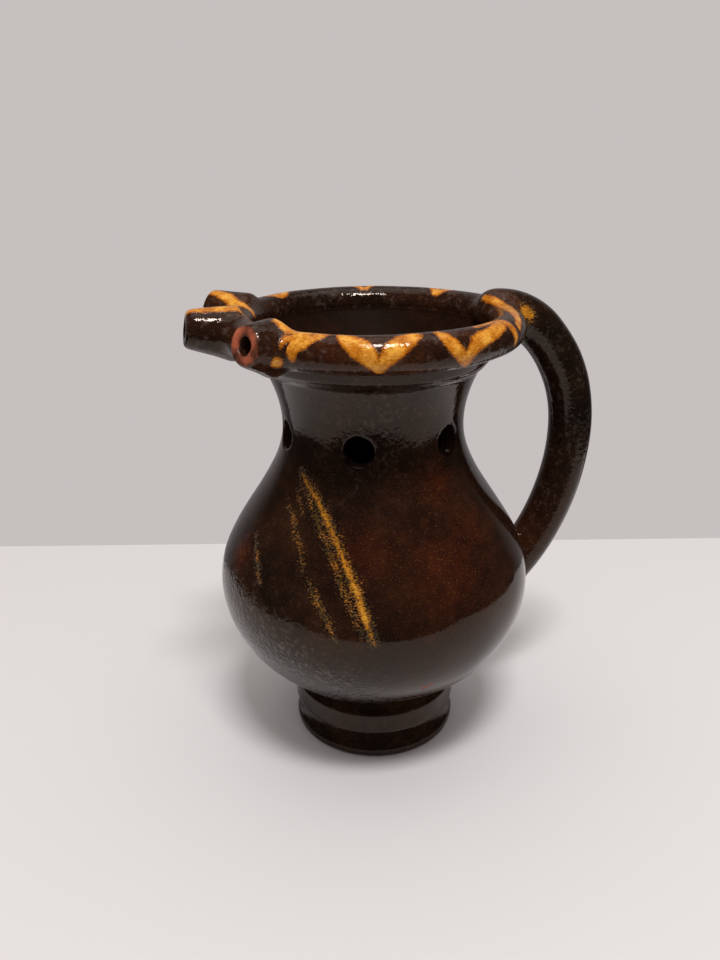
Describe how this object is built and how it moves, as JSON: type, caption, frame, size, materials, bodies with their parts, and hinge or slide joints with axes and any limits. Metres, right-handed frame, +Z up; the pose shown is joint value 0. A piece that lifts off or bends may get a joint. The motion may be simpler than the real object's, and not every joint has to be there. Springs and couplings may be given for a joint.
{
  "type": "puzzle jug",
  "caption": "Footed ceramic puzzle jug with a round belly, pierced waisted neck, hollow rim with short drinking spouts and a hollow loop handle that carries the drink up to them.",
  "frame": {"origin": "centre of the flat base of the foot", "axes": "+Z up through the mouth, +X towards the handle, -X towards the middle spout"},
  "size_m": [0.1383, 0.1046, 0.1532],
  "materials": {
    "body_glaze": "glossy dark brown lead glaze over red clay, with ochre streaks",
    "rim_glaze": "glossy brown glaze with a zigzag of amber slip"
  },
  "bodies": {
    "root": {"foot": "body_glaze", "belly": "body_glaze", "neck": "body_glaze", "neck_collar": "body_glaze", "rim_trough": "rim_glaze", "rim_cover": "rim_glaze", "spout_middle": "rim_glaze", "spout_front": "rim_glaze", "spout_rear": "rim_glaze", "handle": "body_glaze", "handle_top_luting": "body_glaze", "handle_foot_luting": "body_glaze"}
  },
  "joints": []
}
